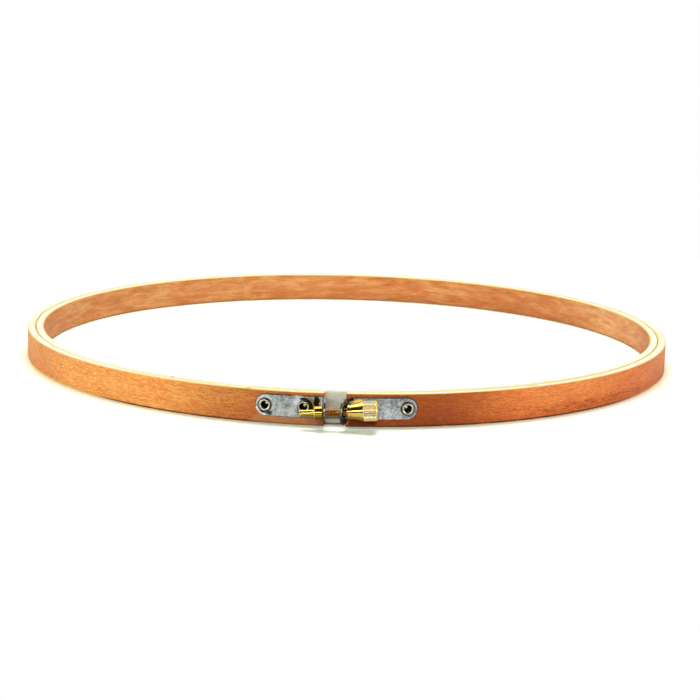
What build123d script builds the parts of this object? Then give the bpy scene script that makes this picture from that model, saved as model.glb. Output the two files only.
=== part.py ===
from build123d import *
import os
from math import cos, degrees, radians, sin, sqrt

# Embroidery hoop, in millimetres. The rings share the Z axis and rest on Z = 0.
# The outer ring is split at the front, at -Y, where its straps and screw are.
# Angles are measured about Z from the middle of that gap, positive towards +X.
front = -90.0

# Rings of bent wood
hoop_size = 254.0
ring_height = 11.8
inner_wall = 3.1
outer_wall = 3.2
ring_play = 0.15
ring_gap = 7.5
inner_edge_round = 0.5
outer_edge_round = 0.35
cut_end_round = 0.25
cut_overrun = 2.0
match_tolerance = 0.001

# Steel straps, bent outward into ears with a round eye
strap_width = 7.9
strap_thickness = 0.7
strap_rise = 0.8
strap_length = 22.82
strap_edge_round = 0.25
bend_radius = 1.2
right_ear_setback = 0.19
left_ear_overhang = 0.44
eye_margin = 0.7
neck_round = 1.5
right_ear_lean = 15.0
left_ear_lean = 3.0

# Semi-tubular rivets through strap and wood, with their heads sunk in the wood's inner face
near_rivet_from_bend = 5.7
far_rivet_from_tip = 3.52
rivet_radius = 1.65
rivet_tube_wall = 0.33
rivet_fit = 0.05
rivet_bore_depth = 2.6
rivet_bore_point = 0.35
rivet_head_radius = 2.9
rivet_head_thickness = 0.5
rivet_head_round = 0.15
rivet_head_play = 0.15
rivet_head_sink = 0.15
rim_overhang = 0.58
rim_foot = 0.12

# Turned thumb screw: point, rod, flange, groove, cone and knurled grip
rod_radius = 1.35
rod_clearance = 0.5
point_radius = 1.22
point_length = 4.95
point_chamfer = 0.3
spare_thread = 0.15
flange_radius = 2.47
flange_length = 0.95
flange_chamfer = 0.12
groove_depth = 0.25
groove_length = 0.25
cone_small_radius = 2.5
cone_large_radius = 3.38
cone_length = 4.25
knurl_radius = 3.5
knurl_length = 5.0
knurl_chamfer = 0.5
knurl_depth = 0.3
knurl_count = 28
knurl_crest_share = 0.2
screw_lean = 3.8
screw_drop = 0.35
head_to_strap = 1.1

# Round collar nut on the rod
nut_radius = 2.35
nut_length = 2.85
nut_chamfer = 0.3
thread_fit = 0.05
seat_clearance = 0.03

# Worked out from the sizes above
inner_outside = hoop_size / 2
inner_inside = inner_outside - inner_wall
outer_inside = inner_outside + ring_play
outer_outside = outer_inside + outer_wall
strap_outside = outer_outside + strap_thickness
strap_middle = ring_height / 2 + strap_rise
eye_radius = strap_width / 2 + eye_margin
screw_distance = strap_outside + knurl_radius + head_to_strap
screw_height = strap_middle - screw_drop
recess_depth = rivet_head_thickness + rivet_head_sink
rivet_stack = outer_wall - recess_depth + strap_thickness
rivet_places = {"near": near_rivet_from_bend, "far": strap_length - far_rivet_from_tip}
right_ear = (right_ear_lean, right_ear_setback)
left_ear = (left_ear_lean, -left_ear_overhang)


def strap_angle(distance, setback):
    """Angle of a place on the right-hand strap, from its distance along the wood from the bend.

    The bend starts where its ear will stand as far behind the wood's cut end as the setback says."""
    bend_start = ring_gap / 2 + bend_radius + strap_thickness + setback
    return degrees((bend_start + distance) / outer_outside)


def radial_plane(angle, distance):
    """Plane square to the radius at this angle, facing outward, at the straps' middle height."""
    outward = Vector(sin(radians(angle)), -cos(radians(angle)), 0)
    along = Vector(cos(radians(angle)), sin(radians(angle)), 0)
    return Plane(origin=outward * distance + Vector(0, 0, strap_middle), x_dir=along, z_dir=outward)


def turned(points):
    """Solid turned about Z from a closed outline of (radius, height) points."""
    return revolve(make_face(Polyline([(r, 0, z) for r, z in points], close=True)), Axis.Z)


def sector(centre, inner, outer, start, sweep):
    """Flat piece of a ring between two radii."""
    outside = CenterArc(centre, outer, start, sweep)
    inside = CenterArc(centre, inner, start, sweep)
    return make_face([outside, inside, Line(inside @ 0, outside @ 0), Line(inside @ 1, outside @ 1)])


def upright(outline):
    """Sheet piece as wide as the strap, standing at the straps' height on this flat outline."""
    return Pos(0, 0, strap_middle - strap_width / 2) * extrude(outline, strap_width)


def wooden_ring(inside, wall, edge_round):
    """Whole ring with eased edges, standing on Z = 0."""
    section = RectangleRounded(wall, ring_height, edge_round)
    return revolve(Plane.XZ * Pos(inside + wall / 2, ring_height / 2) * section, Axis.Z)


def rivet_seat(angle):
    """Hole through the wood with a flat recess for the rivet's head on the inner face."""
    hole = Cylinder(rivet_radius + rivet_fit, 2 * outer_wall + cut_overrun)
    floor = radial_plane(angle, outer_inside + recess_depth)
    recess = floor * Cylinder(
        rivet_head_radius + rivet_head_play,
        recess_depth + cut_overrun,
        align=(Align.CENTER, Align.CENTER, Align.MAX),
    )
    return radial_plane(angle, outer_inside) * hole + recess


def split_ring():
    """Outer ring with its square-cut gap and the four stepped rivet holes."""
    gap = Box(ring_gap, outer_wall + cut_overrun, ring_height + cut_overrun)
    ring = wooden_ring(outer_inside, outer_wall, outer_edge_round)
    ring -= Pos(0, -outer_inside - outer_wall / 2, ring_height / 2) * gap
    cut_ends = ring.faces().filter_by(GeomType.PLANE).filter_by(Axis.X)
    ring = fillet([edge for end in cut_ends for edge in end.edges()], cut_end_round)
    for side, (lean, setback) in ((-1, left_ear), (1, right_ear)):
        for place in rivet_places.values():
            ring -= rivet_seat(side * strap_angle(place, setback))
    return ring


def bend_centre(setback):
    """Centre of the right-hand strap's bend."""
    start = radians(strap_angle(0, setback))
    distance = strap_outside + bend_radius
    return Vector(distance * sin(start), -distance * cos(start), 0)


def ear_plane(lean, setback):
    """Right-hand ear's middle plane: origin at its eye, X outward along the ear, Y up, Z to the gap."""
    to_gap = Vector(-cos(radians(lean)), sin(radians(lean)), 0)
    outward = Vector(-sin(radians(lean)), -cos(radians(lean)), 0)
    root = bend_centre(setback) + to_gap * (bend_radius + strap_thickness / 2)
    eye = root + outward * ear_length(lean, setback)
    return Plane(origin=eye + Vector(0, 0, strap_middle), x_dir=outward, z_dir=to_gap)


def ear_length(lean, setback):
    """Flat length from the end of the bend to the eye's centre, which lies beside the screw."""
    root_y = bend_centre(setback).Y + (bend_radius + strap_thickness / 2) * sin(radians(lean))
    return (root_y + screw_distance) / cos(radians(lean))


def ear(lean, setback):
    """Flat neck as wide as the strap, running into a round eye with the screw's hole."""
    length = ear_length(lean, setback)
    neck = Pos(-length / 2, 0) * Rectangle(length, strap_width)
    flat = Pos((eye_radius - length) / 2, 0) * Rectangle(eye_radius + length, 2 * eye_radius)
    outline = (neck + Circle(eye_radius)) & flat
    outline = fillet(outline.vertices().sort_by(Axis.X)[2:4], neck_round)
    outline -= Pos(0, -screw_drop) * Circle(rod_radius + rod_clearance)
    return ear_plane(lean, setback) * extrude(outline, strap_thickness / 2, both=True)


def strap(setback):
    """Right-hand strap curved round the ring, with a round far end and two rivet holes."""
    start = strap_angle(0, setback)
    tip_centre = strap_angle(strap_length - strap_width / 2, setback)
    tip_sweep = strap_angle(strap_length + cut_overrun, setback) - tip_centre
    band = sector((0, 0), outer_outside, strap_outside, front + start, tip_centre - start)
    tip = sector((0, 0), outer_outside, strap_outside, front + tip_centre, tip_sweep)
    round_end = Cylinder(strap_width / 2, 2 * strap_thickness + cut_overrun)
    blank = upright(band) + (upright(tip) & radial_plane(tip_centre, outer_outside) * round_end)
    for place in rivet_places.values():
        hole = Cylinder(rivet_radius + rivet_fit, 2 * strap_thickness + cut_overrun)
        blank -= radial_plane(strap_angle(place, setback), strap_outside) * hole
    return blank


def bracket(lean, setback):
    """Right-hand strap, bend and ear in one piece of sheet, its outer face's edges rounded all along."""
    start = strap_angle(0, setback)
    centre = (bend_centre(setback).X, bend_centre(setback).Y)
    bend = sector(centre, bend_radius, bend_radius + strap_thickness, start - front, -front - start - lean)
    sheet = strap(setback) + upright(bend) + ear(lean, setback)
    arcs = sheet.edges().filter_by(GeomType.CIRCLE)
    outer_arcs = [edge for edge in arcs if abs(edge.radius - strap_outside) < match_tolerance]
    return fillet(outer_arcs, strap_edge_round)


def rivet():
    """Rivet along Z: the head's shoulder is at zero, and the hollow end is rolled over above."""
    bore_radius = rivet_radius - rivet_tube_wall
    rim_radius = rivet_radius + rim_overhang
    rim_base = rivet_stack + rim_foot
    bore_floor = rivet_stack - rivet_bore_depth
    body = Polyline(
        (bore_radius, 0, rim_base),
        (bore_radius, 0, bore_floor),
        (0, 0, bore_floor - rivet_bore_point),
        (0, 0, -rivet_head_thickness),
        (rivet_head_radius - rivet_head_round, 0, -rivet_head_thickness),
        (rivet_head_radius, 0, rivet_head_round - rivet_head_thickness),
        (rivet_head_radius, 0, 0),
        (rivet_radius, 0, 0),
        (rivet_radius, 0, rivet_stack),
        (rim_radius, 0, rivet_stack),
        (rim_radius, 0, rim_base),
    )
    crown = ((rim_radius + bore_radius) / 2, 0, rim_base + (rim_radius - bore_radius) / 2)
    rolled_rim = ThreePointArc(body @ 1, crown, body @ 0)
    return revolve(make_face([body, rolled_rim]), Axis.Z)


def placed_rivet(angle):
    """Rivet in its stepped hole, with its shoulder on the recess's floor."""
    return radial_plane(angle, outer_inside + recess_depth) * rivet()


def screw_plane():
    """Plane square to the screw, centred on its axis above the middle of the gap."""
    along = Vector(cos(radians(screw_lean)), 0, sin(radians(screw_lean)))
    return Plane(origin=(0, -screw_distance, screw_height), x_dir=(0, 1, 0), z_dir=along)


def seat_on_ear(side, lean, setback, radius):
    """Place along the screw where a disc of this radius just clears the ear's outer face."""
    eye = ear_plane(lean, setback)
    eye_place = Vector(side * eye.origin.X, eye.origin.Y, eye.origin.Z)
    away = Vector(-side * eye.z_dir.X, -eye.z_dir.Y, 0)
    screw = screw_plane()
    square = away.dot(screw.z_dir)
    stand_off = strap_thickness / 2 + radius * sqrt(1 - square * square) + seat_clearance
    return ((eye_place - screw.origin).dot(away) + stand_off) / square


def knurl_groove():
    """One straight V groove of the grip, cut inward from its outside at +X."""
    pitch = 2 * knurl_radius * sin(radians(180 / knurl_count))
    half_width = pitch * (1 - knurl_crest_share) / 2
    widening = half_width * (1 + cut_overrun / knurl_depth)
    outline = Polyline(
        (knurl_radius - knurl_depth, 0),
        (knurl_radius + cut_overrun, widening),
        (knurl_radius + cut_overrun, -widening),
        close=True,
    )
    return extrude(make_face(outline), knurl_length)


def nut_face():
    """Place along the screw of the nut's face on the left ear."""
    return seat_on_ear(-1, *left_ear, nut_radius)


def thumb_screw():
    """Screw turned in one piece, from its smooth point to its knurled grip."""
    thread_end = nut_face() - nut_length - spare_thread
    tip = thread_end - point_length
    flange = seat_on_ear(1, *right_ear, flange_radius)
    groove = flange + flange_length
    cone = groove + groove_length
    knurl = cone + cone_length
    end = knurl + knurl_length
    groove_radius = cone_small_radius - groove_depth
    solid = turned([
        (0, tip),
        (point_radius - point_chamfer, tip),
        (point_radius, tip + point_chamfer),
        (point_radius, thread_end),
        (rod_radius, thread_end + rod_radius - point_radius),
        (rod_radius, flange),
        (flange_radius - flange_chamfer, flange),
        (flange_radius, flange + flange_chamfer),
        (flange_radius, groove - flange_chamfer),
        (flange_radius - flange_chamfer, groove),
        (groove_radius, groove),
        (groove_radius, cone),
        (cone_small_radius, cone),
        (cone_large_radius, knurl),
        (knurl_radius, knurl + knurl_radius - cone_large_radius),
        (knurl_radius, end - knurl_chamfer),
        (knurl_radius - knurl_chamfer, end),
        (0, end),
    ])
    groove_cut = Pos(0, 0, knurl) * knurl_groove()
    solid -= [place * groove_cut for place in PolarLocations(0, knurl_count)]
    return screw_plane() * solid


def collar_nut():
    """Round nut with chamfered ends on the rod, against the left ear."""
    bore = rod_radius + thread_fit
    inner_end = nut_face()
    outer_end = inner_end - nut_length
    return screw_plane() * turned([
        (bore, outer_end),
        (nut_radius - nut_chamfer, outer_end),
        (nut_radius, outer_end + nut_chamfer),
        (nut_radius, inner_end - nut_chamfer / 2),
        (nut_radius - nut_chamfer / 2, inner_end),
        (bore, inner_end),
    ])


nodes = {
    "outer_ring": split_ring(),
    "inner_ring": wooden_ring(inner_inside, inner_wall, inner_edge_round),
    "right_bracket": bracket(*right_ear),
    "left_bracket": mirror(bracket(*left_ear), about=Plane.YZ),
    "thumb_screw": thumb_screw(),
    "collar_nut": collar_nut(),
}
for side_name, side, (lean, setback) in (("left", -1, left_ear), ("right", 1, right_ear)):
    for place_name, place in rivet_places.items():
        nodes[f"{side_name}_{place_name}_rivet"] = placed_rivet(side * strap_angle(place, setback))

os.makedirs("parts", exist_ok=True)
for name, shape in nodes.items():
    export_step(shape, f"parts/{name}.step")
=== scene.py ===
import bpy
from math import asin, atan2, cos, degrees, exp, pi, radians, sin, sqrt, tau
from mathutils import Matrix, Vector, noise


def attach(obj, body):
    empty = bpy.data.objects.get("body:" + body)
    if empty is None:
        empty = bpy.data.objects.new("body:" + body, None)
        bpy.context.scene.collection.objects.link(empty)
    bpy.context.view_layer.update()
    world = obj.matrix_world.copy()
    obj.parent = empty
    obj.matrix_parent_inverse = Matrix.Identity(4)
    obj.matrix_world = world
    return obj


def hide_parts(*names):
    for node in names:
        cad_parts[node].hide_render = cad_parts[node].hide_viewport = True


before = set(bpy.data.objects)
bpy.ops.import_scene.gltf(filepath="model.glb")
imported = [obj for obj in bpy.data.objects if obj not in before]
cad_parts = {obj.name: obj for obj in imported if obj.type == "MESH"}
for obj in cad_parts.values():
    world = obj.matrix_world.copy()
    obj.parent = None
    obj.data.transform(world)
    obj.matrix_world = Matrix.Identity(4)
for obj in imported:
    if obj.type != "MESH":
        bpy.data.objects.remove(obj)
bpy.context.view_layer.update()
scene = bpy.context.scene
scene.view_settings.view_transform = "Standard"

# Sizes of the hoop in millimetres, the same as in the solid model. Blender's unit is the metre.
MM = 0.001
HEIGHT = 11.8
INNER_IN, INNER_OUT = 123.9, 127.0
OUTER_IN, OUTER_OUT = 127.15, 130.35
INNER_ROUND, OUTER_ROUND, END_ROUND = 0.5, 0.35, 0.25
GAP = 7.5
SHEET, BEND, STRAP_WIDTH, STRAP_LENGTH = 0.7, 1.2, 7.9, 22.82
STRAP_TIP = STRAP_LENGTH - STRAP_WIDTH / 2
STRAP_MIDDLE = 6.7
NEAR_RIVET, FAR_RIVET = 5.7, 19.3
RIVET_HOLE, SEAT_RADIUS, SEAT_DEPTH = 1.7, 3.05, 0.65
EYE, NECK, EYE_HOLE, EYE_DROP = 4.65, 1.5, 1.85, 0.35
BEND_AT = {"left": 5.21, "right": 5.84}
LEAN = {"left": radians(3), "right": radians(15)}
SIDES = {"left": -1, "right": 1}
SCREW_AT = (0.0, -135.65, 6.35)
SCREW_LEAN = radians(3.8)
FLANGE, NUT_FACE, NUT_LENGTH = 4.457, -4.137, 2.85

# Radius at which lengths round the rings are measured, and sides of the rivets, holes and screw's point
MEAN_RADIUS = 127.0
ROUND_STEPS = 96


# Mesh helpers
def add_object(name, verts, faces, materials, smooth_angle=40.0, face_slots=None):
    """A mesh object from points in mm, shaded smooth except over sharp edges."""
    mesh = bpy.data.meshes.new(name)
    mesh.from_pydata([Vector(v) * MM for v in verts], [], faces)
    mesh.update()
    obj = bpy.data.objects.new(name, mesh)
    scene.collection.objects.link(obj)
    for material in materials:
        mesh.materials.append(material)
    mesh.polygons.foreach_set("use_smooth", [True] * len(mesh.polygons))
    if face_slots:
        mesh.polygons.foreach_set("material_index", face_slots)
    mesh.set_sharp_from_angle(angle=radians(smooth_angle))
    return obj


def lathe(points, segments, closed=False):
    """Points and faces of an outline of (radius, height) turned about Z."""
    verts, faces, rows = [], [], []
    for r, z in points:
        if r < 1e-6:
            rows.append([len(verts)] * segments)
            verts.append((0, 0, z))
        else:
            rows.append(list(range(len(verts), len(verts) + segments)))
            for i in range(segments):
                a = tau * i / segments
                verts.append((r * cos(a), r * sin(a), z))
    pairs = list(zip(rows, rows[1:])) + ([(rows[-1], rows[0])] if closed else [])
    for low, high in pairs:
        for i in range(segments):
            j = (i + 1) % segments
            face = without_repeats(low[i], low[j], high[j], high[i])
            if len(face) > 2:
                faces.append(face)
    return verts, faces


def without_repeats(*corners):
    """A face's corners in order, each only once."""
    return list(dict.fromkeys(corners))


def grid(rows, columns, point, closed=False):
    """Points and faces of a tube made of rows of points; point(row, column) gives each place."""
    verts = [point(i, j) for i in range(rows) for j in range(columns)]
    faces = []
    for i in range(rows if closed else rows - 1):
        near, far = i * columns, (i + 1) % rows * columns
        for j in range(columns):
            k = (j + 1) % columns
            faces.append((near + j, near + k, far + k, far + j))
    return verts, faces


def join_parts(parts):
    """Several ((points, faces), slot) as one list each of points, faces and the faces' slots."""
    verts, faces, slots = [], [], []
    for (part_verts, part_faces), slot in parts:
        base = len(verts)
        verts += part_verts
        faces += [[v + base for v in face] for face in part_faces]
        slots += [slot] * len(part_faces)
    return verts, faces, slots


def arc_points(centre, radius, start, end, steps):
    """Points of an arc between two angles in degrees."""
    out = []
    for i in range(steps + 1):
        a = radians(start + (end - start) * i / steps)
        out.append((centre[0] + radius * cos(a), centre[1] + radius * sin(a)))
    return out


def wave(x, seed):
    """Smooth one-dimensional noise between about -1 and 1."""
    return noise.fractal(Vector((x, seed * 7.31, seed * 1.7)), 0.9, 2.1, 3)


def cutter(outline, material, matrix):
    """A turned solid with this outline, made to be cut out of another."""
    solid = add_object("hole", *lathe(outline, ROUND_STEPS), [material])
    solid.matrix_world = matrix
    return solid


def cut_away(obj, cutters, smooth_angle):
    """Cuts these solids out of the object and removes them."""
    for solid in cutters:
        cut = obj.modifiers.new("hole", "BOOLEAN")
        cut.operation, cut.solver, cut.object = "DIFFERENCE", "EXACT", solid
    bpy.context.view_layer.update()
    cut_mesh = bpy.data.meshes.new_from_object(obj.evaluated_get(bpy.context.evaluated_depsgraph_get()))
    obj.modifiers.clear()
    obj.data = cut_mesh
    cut_mesh.set_sharp_from_angle(angle=radians(smooth_angle))
    for solid in cutters:
        bpy.data.objects.remove(solid)


def dress(obj, node, body):
    """Lets the piece stand for its node and move with its body."""
    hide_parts(node)
    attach(obj, body)


# Material helpers
def srgb(red, green, blue):
    """Linear colour of a written 0 to 255 colour."""
    linear = []
    for c in (red / 255, green / 255, blue / 255):
        linear.append(c / 12.92 if c <= 0.04045 else ((c + 0.055) / 1.055) ** 2.4)
    return (*linear, 1.0)


def grey(level):
    return (level, level, level, 1.0)


class Nodes:
    """Builds a node tree, with sockets or plain values as inputs."""

    def __init__(self, tree, output):
        self.tree = tree
        self.tree.nodes.clear()
        self.out = self.node(output)

    def node(self, kind, inputs=None, **settings):
        made = self.tree.nodes.new("ShaderNode" + kind)
        for key, value in settings.items():
            setattr(made, key, value)
        for key, value in (inputs or {}).items():
            if isinstance(value, bpy.types.NodeSocket):
                self.tree.links.new(value, made.inputs[key])
            else:
                made.inputs[key].default_value = value
        return made

    def end(self, shader):
        self.tree.links.new(shader.outputs[0], self.out.inputs[0])

    def math(self, operation, first, *others):
        """The operation on the first value and each of the others in turn."""
        result = first
        for other in others or [0.0]:
            result = self.node("Math", {0: result, 1: other}, operation=operation).outputs[0]
        return result

    def plus(self, a, b):
        return self.math("ADD", a, b)

    def minus(self, a, b):
        return self.math("SUBTRACT", a, b)

    def over(self, a, b):
        return self.math("DIVIDE", a, b)

    def times(self, *values):
        return self.math("MULTIPLY", *values)

    def most(self, *values):
        return self.math("MAXIMUM", *values)

    def scaled(self, vector, x, y, z):
        return self.node("VectorMath", {0: vector, 1: (x, y, z)}, operation="MULTIPLY").outputs["Vector"]

    def length(self, vector):
        return self.node("VectorMath", {0: vector}, operation="LENGTH").outputs["Value"]

    def split(self, vector):
        return self.node("SeparateXYZ", {0: vector}).outputs

    def joined(self, x, y, z):
        return self.node("CombineXYZ", {0: x, 1: y, 2: z}).outputs[0]

    def place(self):
        """The object's own coordinates in metres."""
        return self.node("TexCoord").outputs["Object"]

    def place_mm(self):
        return self.scaled(self.place(), 1 / MM, 1 / MM, 1 / MM)

    def off_axis(self, point):
        return self.length(self.scaled(point, 1, 1, 0))

    def noise(self, vector, detail=2.0, roughness=0.5, distortion=0.0, scale=1.0):
        made = self.node("TexNoise", {"Vector": vector, "Scale": scale, "Detail": detail,
                                      "Roughness": roughness, "Distortion": distortion})
        return made.outputs["Fac"]

    def ramp(self, value, low, high, to_low=0.0, to_high=1.0, kind="SMOOTHSTEP"):
        made = self.node("MapRange", {"Value": value, "From Min": low, "From Max": high,
                                      "To Min": to_low, "To Max": to_high}, interpolation_type=kind)
        return made.outputs[0]

    def line(self, value, low, high, to_low=0.0, to_high=1.0):
        return self.ramp(value, low, high, to_low, to_high, "LINEAR")

    def band(self, value, low, high, soft):
        """One between low and high, fading out over the soft width inside them."""
        return self.times(self.ramp(value, low, low + soft), self.ramp(value, high, high - soft))

    def mix(self, fac, a, b, blend="MIX"):
        return self.node("Mix", {0: fac, 6: a, 7: b}, data_type="RGBA", blend_type=blend).outputs[2]

    def tinted(self, fac, colour, tone):
        """The colour multiplied by the tone, as strongly as fac says."""
        return self.mix(fac, colour, self.mix(1.0, colour, tone, "MULTIPLY"))

    def bump(self, height, distance, strength):
        return self.node("Bump", {"Height": height, "Distance": distance, "Strength": strength}).outputs[0]

    def seen(self):
        """One for camera, mirrored and refracted rays, else zero."""
        path = self.node("LightPath").outputs
        return self.most(path["Is Camera Ray"], path["Is Glossy Ray"], path["Is Transmission Ray"])


class Shade(Nodes):
    """Builds one material's nodes."""

    def __init__(self, name):
        self.material = bpy.data.materials.new(name)
        self.material.use_nodes = True
        super().__init__(self.material.node_tree, "OutputMaterial")

    def finish(self, **inputs):
        shader = self.node("BsdfPrincipled", {key.replace("_", " "): value for key, value in inputs.items()})
        self.end(shader)
        return self.material


# Wood
class WoodShade(Shade):
    """A ring's wood, with its places in mm, the angle around from the gap's middle, and its grain."""

    def __init__(self, name, seam):
        super().__init__(name)
        place = self.place_mm()
        x, y, self.up = self.split(place)[0:3]
        self.radius = self.off_axis(place)
        self.around = self.times(self.math("ARCTAN2", x, self.times(y, -1.0)), 180 / pi)
        self.side = self.ramp(self.over(x, self.radius), -0.42, 0.40)
        self.level = self.math("ABSOLUTE", self.split(self.node("TexCoord").outputs["Normal"])[2])
        self.lay_grain(place, seam)

        # the finish stops unevenly near the sanded edges
        stretched = self.scaled(self.even, 1 / 1.6, 0.2, 0.2)
        uneven = self.line(self.noise(stretched, 3.0, 0.6), 0, 1, -0.16, 0.16)
        self.edge = self.ramp(self.plus(self.level, uneven), 0.76, 0.9)
        ragged_around = self.plus(self.around, self.line(self.raw_line, 0.2, 0.8, -1.1, 1.1))
        self.in_gap = self.band(ragged_around, -4.6, 4.6, 2.8)
        self.ragged_up = self.plus(self.up, self.line(self.dash, 0, 1, -0.5, 0.5))

    def lay_grain(self, place, seam):
        """Noises of the grain, which drifts, so that no fibre is level. seam turns its start out of view."""
        spun = self.node("VectorRotate", {"Vector": place, "Angle": radians(seam)}, rotation_type="Z_AXIS")
        turned = self.split(spun.outputs[0])
        along = self.times(self.math("ARCTAN2", turned[0], turned[1]), MEAN_RADIUS)
        self.even = self.joined(along, self.radius, self.up)
        drift = self.line(self.noise(self.scaled(self.even, 1 / 42, 0.03, 0.03), 2.0), 0, 1, -3.0, 3.0)
        self.drifting = self.joined(along, self.radius, self.plus(self.up, drift))
        self.speckle = self.grain(0.95, 0.7, 0.42)
        self.dash = self.grain(2.6, 0.7, 0.34)
        self.fibre = self.grain(11, 0.9, 0.3)
        self.patch = self.grain(9.5, 6, 2.1, roughness=0.55, distortion=0.2)
        self.broad = self.grain(34, 20, 12, detail=1.0, roughness=0.5)
        self.raw_line = self.grain(16, 0.5, 0.32, detail=3.0)
        pore = self.grain(3.4, 0.6, 0.36, detail=3.0, roughness=0.62, distortion=0.5)
        low_right = self.times(self.band(self.around, 26, 68, 9), self.band(self.up, 0.2, 5.4, 1.5))
        self.pores = self.ramp(self.plus(pore, self.times(low_right, 0.115)), 0.65, 0.72)

    def grain(self, length, depth, height, detail=2.0, roughness=0.6, distortion=0.0):
        """Noise with patches of this size in mm."""
        point = self.scaled(self.drifting, 1 / length, 1 / depth, 1 / height)
        return self.noise(point, detail, roughness, distortion)


def painted_light_round(sh, left, right):
    """Painted light round the ring: painted shade, darker and redder, at the front by the screw, low down on
    the right and on the flanks, and painted light at the back right.
    """
    # the left half lit lighter and the right half shaded darker: painted light
    colour = sh.mix(sh.side, left, right)
    # painted shade, darker and redder, at the front round the screw
    front_shade = sh.band(sh.around, -31, 31, 18)
    colour = sh.tinted(sh.times(front_shade, 0.9), colour, srgb(198, 181, 172))
    # more painted shade just right of the screw
    right_front_shade = sh.band(sh.around, 0, 33, 14)
    colour = sh.tinted(right_front_shade, colour, srgb(221, 208, 200))
    # painted shade low down, strongest on the right
    low_shade = sh.times(sh.ramp(sh.up, 8.5, 0.8), sh.line(sh.side, 0, 1, 0.15, 1.0))
    colour = sh.tinted(low_shade, colour, srgb(238, 222, 212))
    # painted shade on the flanks
    flank_shade = sh.band(sh.math("ABSOLUTE", sh.around), 54, 104, 18)
    colour = sh.tinted(flank_shade, colour, srgb(244, 234, 210))
    # painted light at the back right
    back_right_light = sh.band(sh.around, 88, 134, 20)
    return sh.mix(sh.times(back_right_light, 0.7), colour, srgb(252, 184, 118))


def grained(sh, colour, speckle_on, fibre_on, patch_on):
    """The grain, and short dark pores, thickest low down on the right."""
    low_tone, high_tone = (0.86, 0.66, 0.54, 1), (1.08, 1.28, 1.38, 1)
    layers = ((sh.speckle, 0.12, speckle_on), (sh.dash, 0.12, speckle_on), (sh.fibre, 0.14, fibre_on),
              (sh.patch, 0.13, patch_on), (sh.broad, 0.16, 0.3))
    for value, spread, strength in layers:
        tone = sh.mix(sh.line(value, 0.5 - spread, 0.5 + spread), low_tone, high_tone)
        colour = sh.tinted(strength, colour, tone)
    return sh.mix(sh.times(sh.pores, 0.64), colour, srgb(88, 38, 16))


def bare_side(sh, colour, first, last):
    """A side face of raw wood, greyer where the gap bares it, with a painted shadow of the screw's rod low
    down there.
    """
    streaks = sh.ramp(sh.raw_line, 0.35, 0.7)
    pale = sh.mix(streaks, srgb(249, 235, 206), srgb(233, 211, 174))
    pale = sh.mix(sh.ramp(sh.broad, 0.4, 0.65, 0.0, 0.5), pale, srgb(243, 220, 184))
    pale = sh.mix(sh.in_gap, pale, sh.mix(streaks, srgb(252, 255, 238), srgb(226, 232, 211)))
    # painted shadow of the screw's rod on the bared face in the gap
    stain = sh.times(sh.in_gap, sh.band(sh.ragged_up, 1.5, 5.0, 0.9), 0.85)
    pale = sh.mix(stain, pale, srgb(164, 146, 108))
    return sh.mix(sh.band(sh.radius, first - 0.1, last + 0.1, 0.1), colour, pale)


def golden_corners(sh, colour):
    """Thin golden varnish on the corners, and painted warm shade on top in the crevice where the two rings
    meet.
    """
    rim = sh.times(sh.ramp(sh.level, 0.12, 0.6), sh.ramp(sh.level, 0.95, 0.8))
    colour = sh.mix(sh.times(rim, sh.line(sh.in_gap, 0, 1, 0.75, 0.15)), colour, srgb(253, 206, 100))
    # painted warm shade in the crevice between the rings
    crevice_shade = sh.times(sh.band(sh.radius, 126.2, 127.9, 0.3), sh.ramp(sh.up, HEIGHT - 1.6, HEIGHT - 0.3),
                   sh.line(sh.in_gap, 0, 1, 1.0, 0.0))
    return sh.mix(sh.times(crevice_shade, 0.85), colour, srgb(255, 226, 116))


def sanded_edge(sh, colour, wall, edge_tone):
    """Cream sanded edges, yellower near their corners."""
    streaks = sh.ramp(sh.raw_line, 0.4, 0.72, 0.0, 0.2 + edge_tone * 0.65)
    cream = sh.mix(streaks, srgb(254, 252, 236), srgb(251, 234, 176))
    middle, half_wall = (wall[0] + wall[1]) / 2, (wall[1] - wall[0]) / 2
    off_middle = sh.math("ABSOLUTE", sh.minus(sh.radius, middle))
    toasted = sh.plus(sh.minus(off_middle, half_wall), sh.line(sh.raw_line, 0, 1, -0.35, 0.35))
    cream = sh.mix(sh.ramp(toasted, -0.85, -0.2, 0.0, edge_tone), cream, srgb(252, 230, 142))
    cream = sh.mix(sh.ramp(sh.radius, 124.9, 124.1, 0.0, 0.9), cream, srgb(255, 228, 104))
    aged = sh.times(sh.band(sh.around, -44, -3, 12), sh.ramp(sh.radius, 126.9, 127.3), 0.55)
    cream = sh.mix(aged, cream, srgb(248, 230, 160))
    return sh.mix(sh.edge, colour, cream)


def painted_foot_light(sh, colour):
    """Painted contact shadow in blotches on the bottom corner, faint at the sides and back, where the corner
    gets a painted pale glow instead.
    """
    open_sides = sh.most(sh.ramp(sh.around, -34, -52), sh.ramp(sh.around, 50, 68))
    blotches = sh.noise(sh.scaled(sh.even, 1 / 7, 0.2, 0.2), 2.0)
    # painted contact shadow along the bottom corner
    contact_shadow = sh.times(sh.ramp(sh.up, 0.8, 0.4), sh.ramp(blotches, 0.25, 0.5, 0.5, 0.95))
    colour = sh.mix(sh.times(contact_shadow, sh.line(open_sides, 0, 1, 1.0, 0.1)), colour, srgb(92, 48, 18))
    # painted pale glow on the downward corner at the sides and back
    foot_glow = sh.mix(sh.ramp(sh.radius, 125.5, 127.5), srgb(176, 138, 88), srgb(250, 208, 130))
    return sh.mix(sh.times(open_sides, sh.ramp(sh.up, 1.0, 0.3), 0.85), colour, foot_glow)


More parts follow.
